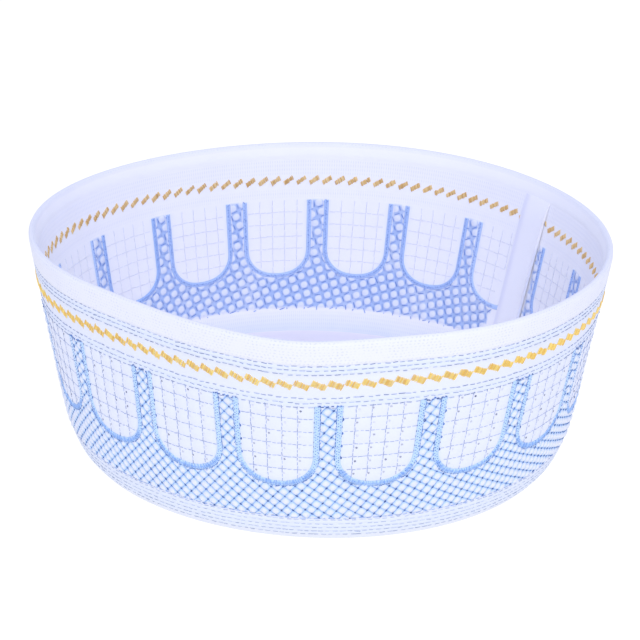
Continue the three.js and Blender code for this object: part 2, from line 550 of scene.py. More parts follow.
def tick_marks(material, place, colour):
    """Faint upright ticks in strips at the top and the foot, where the running rows come through."""
    scale = (ARCHES * TICKS_PER_ARCH, SLANT, 1)
    counted = add_node(material, "ShaderNodeMapping", {"Vector": place, "Scale": scale})
    wave = {"Vector": counted, "Scale": WAVE_UNIT, "Distortion": 0.5, "Detail": 1.0, "Detail Scale": 0.5}
    stripes = add_node(material, "ShaderNodeTexWave", wave, "Fac", bands_direction="X")
    height = part_of(material, counted, "Y")
    shown = 0.0
    for low, high in TICK_STRIPS:
        above = ramp(material, height, low, low + TICK_FADE)
        below = ramp(material, height, high, high - TICK_FADE)
        shown = arithmetic(material, "MULTIPLY_ADD", above, below, shown)
    marked = arithmetic(material, "MULTIPLY", ramp(material, stripes, TICK_THIN, 1.0), shown)
    wave["Scale"] = WAVE_UNIT / TICK_ROW
    rows = add_node(material, "ShaderNodeTexWave", wave, "Fac", bands_direction="Y")
    faint = arithmetic(material, "MULTIPLY", marked, ramp(material, rows, 0.0, 1.0, *TICK_SHARES))
    return mix_colours(material, faint, colour, TICK_GREY)


BAND_COLUMNS = 720
COLUMN_STEP = ARCHES / BAND_COLUMNS
ROW_STEP = 0.74
# The right side's white is set darker than the wrong side's: painted shade over the whole outer face
PANEL_SHADED_WHITE = linear(228, 232, 245)
INSIDE_WHITE = linear(247, 247, 251)
# Colours of the dye round the threads and of painted shade, in the net's grooves and at the wrong side's
# foot
CYAN_DYE_AND_SHADE = linear(190, 218, 248)
INNER_DYE_AND_SHADE = linear(174, 196, 238)
band_heights = np.concatenate([
    np.linspace(0, FOOT_ROWS[0], 4)[:-1],
    np.linspace(FOOT_ROWS[0], NET_FOOT, 14)[:-1],
    np.arange(NET_FOOT, LOW_ROWS[0] - 0.3, ROW_STEP),
    np.linspace(LOW_ROWS[0], LOW_ROWS[-1], 7)[:-1],
    np.linspace(LOW_ROWS[-1], HIGH_ROWS[0], 6)[:-1],
    np.linspace(HIGH_ROWS[0], BAND_TOP, 7),
])
inner_heights = np.concatenate([
    np.linspace(0, NET_FOOT, 4)[:-1],
    np.linspace(NET_FOOT, ARCH_TOP, 41)[:-1],
    np.linspace(ARCH_TOP, INNER_TOP, 5),
])
NEAR_TURN = 0.001
NEAR_HEIGHT = 0.01


def settle_on_net(turn, height):
    """Moves the mesh points next to a line of the net onto it, and those next to two onto their crossing."""
    counts = net_counts(turn, height)
    off = [count - np.round(count) for count in counts]
    ahead = net_counts(turn + NEAR_TURN, height)
    above = net_counts(turn, height + NEAR_HEIGHT)
    by_turn = [(there - count) / NEAR_TURN for there, count in zip(ahead, counts)]
    by_height = [(there - count) / NEAR_HEIGHT for there, count in zip(above, counts)]
    to_line, on_line = [], []
    for part in range(2):
        shallow = np.abs(by_height[part]) * ROW_STEP > np.abs(by_turn[part]) * COLUMN_STEP
        aside = np.where(shallow, 0, -off[part] / by_turn[part])
        upward = np.where(shallow, -off[part] / by_height[part], 0)
        to_line.append((aside, upward))
        on_line.append((np.abs(aside) <= COLUMN_STEP / 2) & (np.abs(upward) <= ROW_STEP / 2))
    spread = by_turn[0] * by_height[1] - by_turn[1] * by_height[0]
    to_crossing = (
        (off[1] * by_height[0] - off[0] * by_height[1]) / spread,
        (off[0] * by_turn[1] - off[1] * by_turn[0]) / spread,
    )
    moved = []
    for start, crossing, first, second in zip((turn, height), to_crossing, *to_line):
        move = np.select([on_line[0] & on_line[1], on_line[0], on_line[1]], [crossing, first, second], 0)
        moved.append(start + np.where(net_room(turn, height) > 0, move, 0))
    return moved


ONCE_ROUND = (0, ARCHES)
GROOVE = 0.02  # stuffing below which a point lies on a line of the net
MERGE_REACH = 1e-7
FOOT_EDGES = (0, 0.02)  # metres between which the open edges at the foot and at the top lie
TOP_EDGES = (0.05, 0.09)
shell = bmesh.new()
flat_lifts = np.zeros(len(band_heights))
verts, turn, height = lay_cloth(
    shell, BAND_COLUMNS, ONCE_ROUND, band_heights, flat_lifts, quilting, outer_tint, 0, settle_on_net
)
in_groove = (stuffing(net_counts(turn, height)) < GROOVE) & (net_room(turn, height) > 0)
bmesh.ops.connect_verts(shell, verts=[vert for vert, sunk in zip(verts, in_groove) if sunk])
inner_lifts = np.full(len(inner_heights), -CLOTH)
lay_cloth(shell, BAND_COLUMNS, ONCE_ROUND, inner_heights, inner_lifts, inner_quilting, inner_tint, 1)
bmesh.ops.remove_doubles(shell, verts=shell.verts, dist=MERGE_REACH)
bridge_cloth(shell, *FOOT_EDGES)
bridge_cloth(shell, *TOP_EDGES)
right_side = cotton("quilted cotton", PANEL_SHADED_WHITE, CYAN_DYE_AND_SHADE, net_count_nodes)
wrong_side = cotton(
    "quilted cotton, wrong side", INSIDE_WHITE, INNER_DYE_AND_SHADE, inner_count_nodes,
    cushion=(0.64, 0.32), wash=0.3, marks=tick_marks,
)
band = finish_cloth(shell, "quilted_band", [right_side, wrong_side])
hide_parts("band")

# Rim hem: the plain folded edge round the opening, white cotton turned over the band's raw top.
# It is held by close rows of tiny white stitches that show as pin pricks.
HEM_FOOT = BAND_TOP + 0.05
HEM_COLUMNS = 540
HEM_WHITE = linear(252, 252, 254)
hem_section = [
    (HEM_FOOT, 0.05), (HEM_FOOT + 0.3, 0.22), (HEM_FOOT + 1.2, 0.28), (HEM_FOOT + 2.6, 0.24),
    (HEM_FOOT + 4.2, 0.24), (SLANT - 1.5, 0.2), (SLANT - 0.7, 0.05),
    (SLANT - 0.15, -0.35), (SLANT, -0.9), (SLANT - 0.15, -1.45),
    (SLANT - 0.7, -1.78), (SLANT - 1.5, -1.88),
    (INNER_TOP + 2, -1.88), (INNER_TOP, -1.86), (INNER_TOP - 0.8, -1.5),
]  # height and lift, up the outer face, over the fold and down the inner face
PRICK_ROWS = 0.95
PRICKS_PER_ARCH = 26
PRICK_EDGE = (0.32, 0.08)  # shares of a prick's cell from its middle, where it starts and is full
PRICK_FACE = (1.045, 1.015)  # pricks fade out past the fold, in shares of the slope
PRICK_WANDER = 0.9
PRICK_PATCHES = 0.22
PRICK_GROUND_SHADE = 0.44  # share of grey between the pricks, painted shade over the outer face, and in them where they are shallow and deep
PRICK_DEPTHS = (0.5, 0.8)
PRICK_AND_SHADE_GREY = linear(206, 210, 230)


def level(turn, height):
    return 0 * turn


def undyed(turn, height):
    return 0 * turn, 0 * turn


def pin_pricks(material, place, colour):
    """Rows of tiny stitch holes: a dot in the middle of every cell of a counted grid, on a grey ground that
    is painted shade over the outer face.
    """
    scale = (ARCHES * PRICKS_PER_ARCH, SLANT / PRICK_ROWS, 1)
    counted = add_node(material, "ShaderNodeMapping", {"Vector": place, "Scale": scale})
    uneven = noise(material, counted, PRICK_WANDER, output="Color")
    shifted = vector_arithmetic(material, "ADD", counted, uneven)
    row = arithmetic(material, "FLOOR", part_of(material, shifted, "Y"))
    start = add_node(material, "ShaderNodeTexWhiteNoise", {"W": row}, "Value", noise_dimensions="1D")
    start = add_node(material, "ShaderNodeCombineXYZ", {"X": start})
    cell = vector_arithmetic(material, "FRACTION", vector_arithmetic(material, "ADD", shifted, start))
    cell = vector_arithmetic(material, "MULTIPLY", cell, (1, 1, 0))
    reach = vector_arithmetic(material, "DISTANCE", cell, (0.5, 0.5, 0.0), output="Value")
    depth = ramp(material, noise(material, counted, PRICK_PATCHES), 0.38, 0.6, *PRICK_DEPTHS)
    hole = ramp(material, reach, *PRICK_EDGE, PRICK_GROUND_SHADE, depth)
    outer = ramp(material, part_of(material, place, "Y"), *PRICK_FACE)
    return mix_colours(material, arithmetic(material, "MULTIPLY", hole, outer), colour, PRICK_AND_SHADE_GREY)


shell = bmesh.new()
hem_heights, hem_lifts = np.array(hem_section).T
lay_cloth(shell, HEM_COLUMNS, ONCE_ROUND, hem_heights, hem_lifts, level, undyed, 0)
bmesh.ops.remove_doubles(shell, verts=shell.verts, dist=MERGE_REACH)
bridge_cloth(shell, *TOP_EDGES)
hem = finish_cloth(shell, "folded_hem", [cotton("hem cotton", HEM_WHITE, HEM_WHITE, marks=pin_pricks)])
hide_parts("rim_hem")

# Crown: the flat round top of the cap, one layer of plain white cotton inside the foot of the band.
# The cap lies on it. Its edge is turned up and sewn to the band's foot all round.
CROWN_COLUMNS = 216
# Painted shade: the crown's white is set darker than the wrong side's, for the shade it lies in
CROWN_SHADED_WHITE = linear(237, 233, 242)
CROWN_SEWN_IN = 0.03  # its edge reaches this far into the band
CROWN_TOP = [
    (0, 3.4), (0.006, 2.9), (0.016, 2.3), (0.03, 1.95), (0.06, 1.8), (0.15, 1.8), (0.4, 1.75), (1, 1.7),
]  # shares of the way in from the edge, and levels
CROWN_UNDER = [(0, 0), (0.02, 0), (0.1, 0.05), (0.4, 0.1), (1, 0.1)]
CROWN_EDGES = (0, 0.01)
crown_middle = (np.array([CROWN_SHIFT, 0]) - MIDDLE[:2]) * MM


def crown_skin(shell, profile):
    """Lays one face of the crown from its profile."""
    rows = len(profile) - 1
    crown_map = shell.loops.layers.uv.get("cloth") or shell.loops.layers.uv.new("cloth")
    verts = bmesh.ops.create_grid(shell, x_segments=CROWN_COLUMNS, y_segments=rows, size=0.5)["verts"]
    place = np.array([vert.co[:2] for vert in verts]) + 0.5
    shares, levels = np.array(profile).T
    share = np.interp(place[:, 1] * rows, np.arange(rows + 1), shares)
    height = np.interp(place[:, 1] * rows, np.arange(rows + 1), levels)
    count = len(verts)
    edge = wall(place[:, 0] * ARCHES, np.full(count, levels[0]), np.full(count, -CLOTH + CROWN_SEWN_IN))
    point = edge[:, :2] + (crown_middle - edge[:, :2]) * share[:, None]
    for vert, (x, y), z in zip(verts, point, height):
        vert.co = (x, y, z * MM)
    for polygon in {polygon for vert in verts for polygon in vert.link_faces}:
        polygon.smooth = True
        for loop in polygon.loops:
            loop[crown_map].uv = (loop.vert.co.x / (GIRTH * MM), loop.vert.co.y / (SLANT * MM))


shell = bmesh.new()
crown_skin(shell, CROWN_TOP)
crown_skin(shell, CROWN_UNDER)
bmesh.ops.remove_doubles(shell, verts=shell.verts, dist=MERGE_REACH)
bridge_cloth(shell, *CROWN_EDGES)
crown = finish_cloth(shell, "crown_disc", [cotton("crown cotton", CROWN_SHADED_WHITE, CROWN_SHADED_WHITE)])
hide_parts("crown")

# Seam flap: the plain strip of white cotton that covers the band's closing seam on the inside.
# One of its long edges is folded and stands a little off the wall, and the other is sewn down.
# Its top goes under the hem.
FLAP_WIDTH = 0.36  # in arches
FLAP_CLOTH = 1.0
FLAP_LEAST = 0.1  # thickness left where it thins out
FLAP_FOOT = 3.5
FLAP_TOP = INNER_TOP
FLAP_COLUMNS = 24
FLAP_ROWS = 48
FLAP_GAP = 0.03
FOLD_STAND = 0.55  # how far the folded edge stands off the wall
FOLD_WIDTH = 0.06
FOLD_LENGTH = 62
FOLD_POWER = 0.6
THIN_FROM = 0.3  # share of its width, and height, from which it thins out
THIN_ABOVE = 58
SEWN_LINE = 0.94  # share of its width where it is sewn down
SEWN_SPREAD = 0.12
# Painted shade along the sewn edge, as a share of the grey below
SEWN_SHADE = 0.45
FLAP_EDGES = (0, 0.09)
FLAP_WHITE = linear(246, 246, 251)
# Colour of the painted shade along the sewn edge
FLAP_SHADE_GREY = linear(214, 216, 240)


def flap_back(turn, height):
    """Inner face of the flap: against the wall, but its folded edge stands off a little."""
    fold = np.exp(-(turn - seam_fold(height)) / FOLD_WIDTH)
    free = np.sin(np.pi * np.clip((height - FLAP_FOOT) / FOLD_LENGTH, 0, 1)) ** FOLD_POWER
    return -CLOTH - FLAP_GAP - FOLD_STAND * fold * free


def flap_front(turn, height):
    """Shown face of the flap: it thins out towards the edge that is sewn down and towards the rim."""
    share = (turn - seam_fold(height)) / FLAP_WIDTH
    thick = FLAP_CLOTH * (1 - 0.5 * np.clip((share - THIN_FROM) / (1 - THIN_FROM), 0, 1) ** 2)
    thick = thick * (1 - np.clip((height - THIN_ABOVE) / (FLAP_TOP - THIN_ABOVE), 0, 1) ** 2)
    return flap_back(turn, height) - FLAP_LEAST - thick


def flap_shade(turn, height):
    """Painted shade: a grey line along the sewn edge, where the cloth is drawn in."""
    share = (turn - seam_fold(height)) / FLAP_WIDTH
    return SEWN_SHADE * np.exp(-(((share - SEWN_LINE) / SEWN_SPREAD) ** 2)), 0 * turn


flap_heights = np.linspace(FLAP_FOOT, FLAP_TOP, FLAP_ROWS)
flap_turns = (seam_fold(flap_heights), seam_fold(flap_heights) + FLAP_WIDTH)
shell = bmesh.new()
no_lift = np.zeros(FLAP_ROWS)
for flap_face in (flap_back, flap_front):
    lay_cloth(shell, FLAP_COLUMNS, flap_turns, flap_heights, no_lift, flap_face, flap_shade, 0)
bridge_cloth(shell, *FLAP_EDGES)
flap = finish_cloth(shell, "flap_strip", [cotton("flap cotton", FLAP_WHITE, FLAP_SHADE_GREY)])
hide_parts("seam_flap")

# Running rows: lines of grey-blue running stitch round the band, at its foot and beside the gold row.
# Each stitch is a short length of cotton thread that comes up through the cloth and goes back down.
chance = np.random.default_rng(18)
TWIST_SCALE = 2600.0
TWIST_SHADE = 0.4
SHADE_RANGE = (0.1, 1.3)


def thread(name, light, dark):
    """Twisted cotton thread: each stitch has its own shade, with a fine twist in its bump."""
    material, shader = new_material(name, roughness=0.6, sheen=0.25)
    body = add_node(material, "ShaderNodeTexCoord", {}, "Object")
    twist = noise(material, body, TWIST_SCALE)
    both = arithmetic(material, "MULTIPLY_ADD", twist, TWIST_SHADE, attribute(material, "shade"))
    colour = mix_colours(material, ramp(material, both, *SHADE_RANGE), light, dark)
    dress(material, shader, colour, {"Height": twist, "Strength": 0.3, "Distance": 0.0001})
    return material


def stitch_tube(sides, steps):
    """One thread as a closed tube along Z, with a ring of points for each step of its way."""
    tube = bmesh.new()
    bmesh.ops.create_cone(tube, cap_ends=True, segments=sides, radius1=1, radius2=1, depth=1)
    long_edges = [edge for edge in tube.edges if edge.verts[0].co.z * edge.verts[1].co.z < 0]
    bmesh.ops.subdivide_edges(tube, edges=long_edges, cuts=steps - 2)
    for polygon in tube.faces:
        polygon.smooth = True
    return tube


def sew(name, ways, rise, radius, material, sides, flatness, inside=False, shade=None):
    """Sews many threads as one piece: each row of turns and heights is a thread's way along the wall."""
    turn, height = ways
    if inside:
        in_flap = at_seam(turn.mean(axis=1), height.mean(axis=1))
        turn, height = turn[~in_flap], height[~in_flap]
        shade = shade if shade is None else shade[~in_flap]
        face, way = -CLOTH + inner_quilting(turn, height), -1
    else:
        face, way = quilting(turn, height), 1
    count, steps = turn.shape
    middle = wall(turn, height, face + way * rise)
    outward = wall(turn, height, face + way * (rise + 1)) - middle
    outward /= np.linalg.norm(outward, axis=-1, keepdims=True)
    across = np.cross(np.gradient(middle, axis=1), outward)
    across /= np.maximum(np.linalg.norm(across, axis=-1, keepdims=True), 1e-12)
    tube = stitch_tube(sides, steps)
    place = np.array([vert.co for vert in tube.verts])
    step = np.round((place[:, 2] + 0.5) * (steps - 1)).astype(int)
    thick = np.broadcast_to(radius, (count, steps))[:, step, None] * MM
    ring = across[:, step] * place[:, 1, None] + outward[:, step] * place[:, 0, None] * flatness
    points = (middle[:, step] + thick * ring).reshape(-1, 3)
    stitch = bpy.data.meshes.new("stitch")
    tube.to_mesh(stitch)
    tube.free()
    shell = bmesh.new()
    for _ in range(count):
        shell.from_mesh(stitch)
    bpy.data.meshes.remove(stitch)
    for vert, point in zip(shell.verts, points):
        vert.co = point
    piece = add_piece(shell, name, [material])
    shade = chance.random(count) if shade is None else shade
    shades = piece.data.attributes.new("shade", "FLOAT", "POINT")
    shades.data.foreach_set("value", np.repeat(shade, len(step)))


def dashes(starts, ends, shares):
    """Ways of straight stitches: turn and height at shares of the length from start to end."""
    shares = np.asarray(shares)[None, :]
    return [a[:, None] * (1 - shares) + b[:, None] * shares for a, b in zip(starts, ends)]


STITCH_SHARES = (0, 0.18, 0.82, 1)
STITCH_RISE = np.array([-0.3, 0.08, 0.08, -0.3])
STITCH_WIDTH = np.array([0.7, 1, 1, 0.7])
RUN_PITCH = 2.2
RUN_DASH = 1.95
RUN_THREAD = 0.11
RUN_GAIN = 0.0027  # share of the girth that a row gains for each millimetre up
START_JITTER = 0.07
LENGTH_JITTER = 0.13
HEIGHT_JITTER = 0.1


def running_stitch(name, rows, material):
    starts, ends = [], []
    for height in rows:
        girth = GIRTH * (1 + RUN_GAIN * (height - GIRTH_UP * SLANT))
        count = round(girth / RUN_PITCH)
        begin = np.arange(count) + chance.random() + chance.normal(0, START_JITTER, count)
        begin = begin * ARCHES / count
        length = RUN_DASH / RUN_PITCH * ARCHES / count * chance.normal(1, LENGTH_JITTER, count)
        jitter = chance.normal(0, HEIGHT_JITTER, (2, count))
        starts.append(np.stack([begin, height + jitter[0]]))
        ends.append(np.stack([begin + length, height + jitter[1]]))
    ways = dashes(np.concatenate(starts, axis=1), np.concatenate(ends, axis=1), STITCH_SHARES)
    sew(name, ways, STITCH_RISE, RUN_THREAD * STITCH_WIDTH, material, sides=4, flatness=1)


running_thread = thread("grey-blue thread", linear(178, 192, 220), linear(94, 114, 164))
running_stitch("running_rows", LOW_ROWS + HIGH_ROWS, running_thread)
foot_thread = thread("pale grey-blue thread", linear(206, 216, 234), linear(150, 166, 198))
running_stitch("foot_rows", FOOT_ROWS, foot_thread)

# Gold row: a line of slanting satin leaves in gold cotton thread between the running rows.
# Each leaf is eleven short strands side by side, or ten on the wrong side, where the row shows too.
GOLD_LEAVES = 118
GOLD_HEIGHT = 58.2
GOLD_STEP = 0.4  # from strand to strand
GOLD_LEAN = np.radians(23)
GOLD_GAIN = 1.03  # an arch is this much wider at the gold row
STRAND_SLIP = 0.04
STRAND_JITTER = 0.11
LEAF_SHARES = (0, 0.25, 0.75, 1)
LEAF_RISE = np.array([-0.25, 0.14, 0.14, -0.25])
leaf_pitch = ARCHES / GOLD_LEAVES
gold_mm = 1 / (ARCH_PITCH * GOLD_GAIN)


def gold_row(name, strands, slope, length, radius, material, inside=False):
    leaf = np.repeat(np.arange(GOLD_LEAVES), strands)
    along = (np.tile(np.arange(strands), GOLD_LEAVES) - (strands - 1) / 2) * GOLD_STEP
    along = along + chance.normal(0, STRAND_SLIP, len(leaf))
    reach = length / 2 * chance.normal(1, STRAND_JITTER, len(leaf))
    middle = leaf * leaf_pitch + along * np.cos(slope) * gold_mm
    middle_height = GOLD_HEIGHT - along * np.sin(slope)
    lean = np.sin(GOLD_LEAN) * gold_mm * reach
    rise = np.cos(GOLD_LEAN) * reach
    starts = (middle - lean, middle_height - rise)
    ends = (middle + lean, middle_height + rise)
    ways = dashes(starts, ends, LEAF_SHARES)
    sew(name, ways, LEAF_RISE, radius * STITCH_WIDTH, material, sides=5, flatness=0.7, inside=inside)


gold_thread = thread("gold thread", linear(255, 228, 130), linear(234, 184, 80))
gold_row("gold_row", strands=11, slope=np.radians(24), length=2.8, radius=0.165, material=gold_thread)
tan_thread = thread("gold thread, wrong side", linear(250, 220, 158), linear(208, 162, 92))
gold_row(
    "inner_gold_row", strands=10, slope=np.radians(34), length=2.2, radius=0.2,
    material=tan_thread, inside=True,
)

# Arch outlines: a flat cord of pale blue padding thread round the sides and the round foot of every arch.
# Blue zigzag stitches hold it down on the sides and satin stitches cross it at the foot.
# Single stitches in darker thread run along its edges.
LEG_POINTS = 40
FOOT_POINTS = 161
legs = np.linspace(ARCH_TOP, ARCH_SPRING, LEG_POINTS)
swing = np.linspace(np.pi, 2 * np.pi, FOOT_POINTS)
rounded = 2 / ARCH_ROUNDNESS
foot_x = np.sign(np.cos(swing)) * ARCH_HALF * np.abs(np.cos(swing)) ** rounded
foot_h = ARCH_SPRING - ARCH_DROP * np.abs(np.sin(swing)) ** rounded
leg_x = np.full(LEG_POINTS - 1, ARCH_HALF)
outline_x = np.concatenate([-leg_x, foot_x, leg_x])
outline_h = np.concatenate([legs[:-1], foot_h, legs[::-1][1:]])
outline_run = np.concatenate([[0], np.cumsum(np.hypot(np.diff(outline_x), np.diff(outline_h)))])
NEAR_RUN = 0.2


def on_outline(run):
    return np.stack([np.interp(run, outline_run, line) for line in (outline_x, outline_h)])


def outline_points(count):
    """Even points along an arch's outline, and the way into the arch at each."""
    run = (np.arange(count) + 0.5) / count * outline_run[-1]
    ahead_x, ahead_h = on_outline(run + NEAR_RUN) - on_outline(run - NEAR_RUN)
    size = np.hypot(ahead_x, ahead_h)
    return (*on_outline(run), -ahead_h / size, ahead_x / size)


def all_arches(x, h):
    """Repeats places beside an arch's middle round all the arches."""
    turn = np.arange(ARCHES)[:, None] + 0.5 + x.reshape(1, -1) / ARCH_PITCH
    return turn.reshape((ARCHES,) + x.shape), np.broadcast_to(h, (ARCHES,) + h.shape)


CORD_POINTS = 72
CORD_RISE = 0.03


def outline_cord(name, half_width, flatness, material, inside=False):
    """Padding that runs under the stitches of every outline."""
    ways = all_arches(*outline_points(CORD_POINTS)[:2])
    sew(name, ways, CORD_RISE, half_width, material, sides=8, flatness=flatness, inside=inside)


SHORT_SHARES = (0, 0.5, 1)
SHORT_WIDTH = np.array([0.6, 1, 0.6])
SHORT_RISE = np.array([0.3, 1, 0.3])
SLIP_JITTER = 0.1
ASIDE_JITTER = 0.07
LEAN_JITTER = 0.2
SIZE_JITTER = 0.15


def outline_stitches(name, count, reach, aside, lean, length, radius, rise, material, inside=False):
    """Short stitches along the outlines, between the two heights of reach.

    They lie aside of the middle line and lean from its way. Two values are taken in turn.
    """
    x, h, in_x, in_h = outline_points(count)
    kept = (h > reach[0]) & (h < reach[1])
    x, h, in_x, in_h = x[kept], h[kept], in_x[kept], in_h[kept]
    turn, height = (part.ravel() for part in all_arches(x, h))
    in_x, in_h = np.tile(in_x, ARCHES), np.tile(in_h, ARCHES)
    total = len(turn)
    slip = chance.normal(0, SLIP_JITTER, total)
    off = np.tile(np.resize(aside, len(x)), ARCHES) + chance.normal(0, ASIDE_JITTER, total)
    turned = np.tile(np.resize(lean, len(x)), ARCHES) + chance.normal(0, LEAN_JITTER, total)
    half = length / 2 * chance.normal(1, SIZE_JITTER, total)
    way_x = np.cos(turned) * in_h + np.sin(turned) * in_x
    way_h = -np.cos(turned) * in_x + np.sin(turned) * in_h
    middle = turn + (off * in_x + slip * in_h) / ARCH_PITCH
    middle_height = height + off * in_h - slip * in_x
    starts = (middle - half * way_x / ARCH_PITCH, middle_height - half * way_h)
    ends = (middle + half * way_x / ARCH_PITCH, middle_height + half * way_h)
    ways = dashes(starts, ends, SHORT_SHARES)
    sew(name, ways, rise * SHORT_RISE, radius * SHORT_WIDTH, material, sides=4, flatness=0.7, inside=inside)


WHOLE = (-np.inf, NET_TOP)
LEGS = (ARCH_SPRING - 1, NET_TOP)
SIDES = (ARCH_SPRING - 7, ARCH_TOP - 0.2)
FEET = (-np.inf, ARCH_SPRING - 4.5)
ZIGZAG = (0.85, -0.85)
SQUARE = np.pi / 2
padding = thread("pale blue padding thread", linear(210, 230, 250), linear(182, 212, 246))
outline_cord("outline_padding", half_width=0.95, flatness=0.22, material=padding)
outline_thread = thread("blue outline thread", linear(116, 158, 220), linear(42, 84, 162))
outline_stitches(
    "outline_zigzag", 150, SIDES, aside=(0.3, -0.3), lean=ZIGZAG, length=0.66,
    radius=0.19, rise=0.22, material=outline_thread,
)
edge_thread = thread("deep blue edge thread", linear(118, 158, 220), linear(54, 96, 174))
outline_stitches(
    "outline_edges", 62, WHOLE, aside=-ARCH_BAND, lean=0, length=1.15,
    radius=0.17, rise=0.13, material=edge_thread,
)
slate_thread = thread("slate blue thread", linear(150, 170, 216), linear(80, 102, 168))
outline_stitches(
    "outline_dots", 42, LEGS, aside=ARCH_BAND, lean=0, length=0.7,
    radius=0.17, rise=0.12, material=slate_thread,
)
foot_satin = thread("satin blue thread", linear(176, 206, 245), linear(122, 164, 229))
outline_stitches(
    "outline_feet", 220, FEET, aside=0, lean=SQUARE, length=1.62,
    radius=0.19, rise=0.3, material=foot_satin,
)
inner_blue = thread("blue thread, wrong side", linear(172, 194, 240), linear(118, 148, 214))
inner_padding = thread("pale blue padding thread, wrong side", linear(188, 210, 247), linear(158, 188, 239))
outline_cord("inner_outline_cord", half_width=0.85, flatness=0.3, material=inner_padding, inside=True)
outline_stitches(
    "inner_outlines", 120, WHOLE, aside=0, lean=ZIGZAG, length=1.2,
    radius=0.2, rise=0.34, material=inner_blue, inside=True,
)

# Arch grid: thin lines of blue running stitch that divide the panel of every arch into small squares.
# They are sewn through both layers, and show faintly on the wrong side.
UPRIGHT_DASH = 0.92  # share of a stitch's length that shows
ROW_DASH = 0.86
GRID_RISE = np.array([0.0, 0.06, 0.06, 0.0])
GRID_JITTER = 0.08
GRID_END = 0.2 - ARCH_BAND  # the lines end this far from the middle of the outline
UPRIGHT_SHADE = 0.25
ROW_SHADE = 0.2
SHADE_SPREAD = 0.55


def arch_grid(name, stitch, radius, material, inside=False):
    steps = np.arange(GRID_ROWS[0] - 2 * GRID_CELL, ARCH_TOP - stitch * 0.9, stitch)
    upright_x, upright_h = (part.ravel() for part in np.meshgrid(GRID_UPRIGHTS, steps, indexing="ij"))
    steps = np.arange(GRID_UPRIGHTS[0] - GRID_CELL, ARCH_HALF, stitch)
    row_h, row_x = (part.ravel() for part in np.meshgrid(GRID_ROWS, steps, indexing="ij"))
    x_from = np.concatenate([upright_x, row_x])
    x_to = np.concatenate([upright_x, row_x + stitch * ROW_DASH])
    h_from = np.concatenate([upright_h, row_h])
    h_to = np.concatenate([upright_h + stitch * UPRIGHT_DASH, row_h])
    inside_arch = np.ones(len(x_from), dtype=bool)
    for x, h in ((x_from, h_from), (x_to, h_to)):
        inside_arch &= arch_edge(0.5 + x / ARCH_PITCH, h) < GRID_END
    upright = np.tile((x_from == x_to)[inside_arch], ARCHES)
    starts = all_arches(x_from[inside_arch], h_from[inside_arch])
    ends = all_arches(x_to[inside_arch], h_to[inside_arch])
    jitter = chance.normal(0, GRID_JITTER, (4, starts[0].size))
    starts = (starts[0].ravel() + jitter[0] / ARCH_PITCH, starts[1].ravel() + jitter[1])
    ends = (ends[0].ravel() + jitter[2] / ARCH_PITCH, ends[1].ravel() + jitter[3])
    shade = np.where(upright, UPRIGHT_SHADE, ROW_SHADE) + SHADE_SPREAD * chance.random(len(upright))
    ways = dashes(starts, ends, STITCH_SHARES)
    sew(name, ways, GRID_RISE, radius * STITCH_WIDTH, material, 3, 0.8, inside, shade)


grid_thread = thread("thin blue thread", linear(178, 196, 232), linear(92, 114, 176))
arch_grid("arch_grid", stitch=GRID_CELL / 3, radius=0.11, material=grid_thread)
faint_thread = thread("thin blue thread, wrong side", linear(242, 243, 251), linear(224, 227, 245))
arch_grid("inner_grid", stitch=GRID_CELL / 2, radius=0.15, material=faint_thread, inside=True)

# Grid knots: knots of grey cotton thread a little below and to the right of the grid's crossings.
# Each is one short stitch drawn down into the cloth, and many are so pale that they hardly show.
KNOT_ASIDE = 0.7
KNOT_DOWN = 1.4
KNOT_HALF = 0.36 / ARCH_PITCH
KNOT_TILT = 0.15
KNOT_SIZE = 0.42
KNOT_JITTER = 0.2
KNOT_RISE = np.array([-0.1, 0.02, -0.1])
PALENESS = 2.2  # power that leaves few knots dark
knot_x, knot_h = np.meshgrid(GRID_UPRIGHTS, GRID_ROWS + (GRID_ROWS[-1] + GRID_CELL,))
knot_x, knot_h = knot_x.ravel() + KNOT_ASIDE, knot_h.ravel() - KNOT_DOWN
in_panel = arch_edge(0.5 + knot_x / ARCH_PITCH, knot_h) < -0.5
turn, height = (part.ravel() for part in all_arches(knot_x[in_panel], knot_h[in_panel]))
turn = turn + chance.normal(0, KNOT_JITTER, len(turn)) / ARCH_PITCH
height = height + chance.normal(0, KNOT_JITTER, len(turn))
ways = dashes((turn - KNOT_HALF, height), (turn + KNOT_HALF, height - KNOT_TILT), SHORT_SHARES)
knot_shade = chance.random(len(turn)) ** PALENESS
grey_thread = thread("grey thread", linear(226, 229, 240), linear(84, 92, 122))
sew(
    "grid_knots", ways, KNOT_RISE, KNOT_SIZE * SHORT_WIDTH, grey_thread,
    sides=5, flatness=0.45, shade=knot_shade,
)

# Net: crossing lines of blue thread that tie the stuffed cloth between the arches into small diamonds.
# A dark knot lies on each crossing, along one of its two lines.
# A row of running stitch closes the net at its foot.
NET_THREAD = 0.145
NET_RISE = np.array([0.04, 0.06, 0.04])
CROSSING_RISE = np.array([0.08, 0.14, 0.08])
CROSSING_SIZE = 0.28
CROSSING_REACH = (0.1, 0.19)  # shares of a cell from a crossing to its knot's ends
LINE_PARTS = 17
LEAST_SHARE = 0.15  # of a line, which is dropped where less of it is left
LINES_EACH_WAY = 110
SEAM_CLEAR = (0.03, 0.07)  # arches without net after the seam and before it


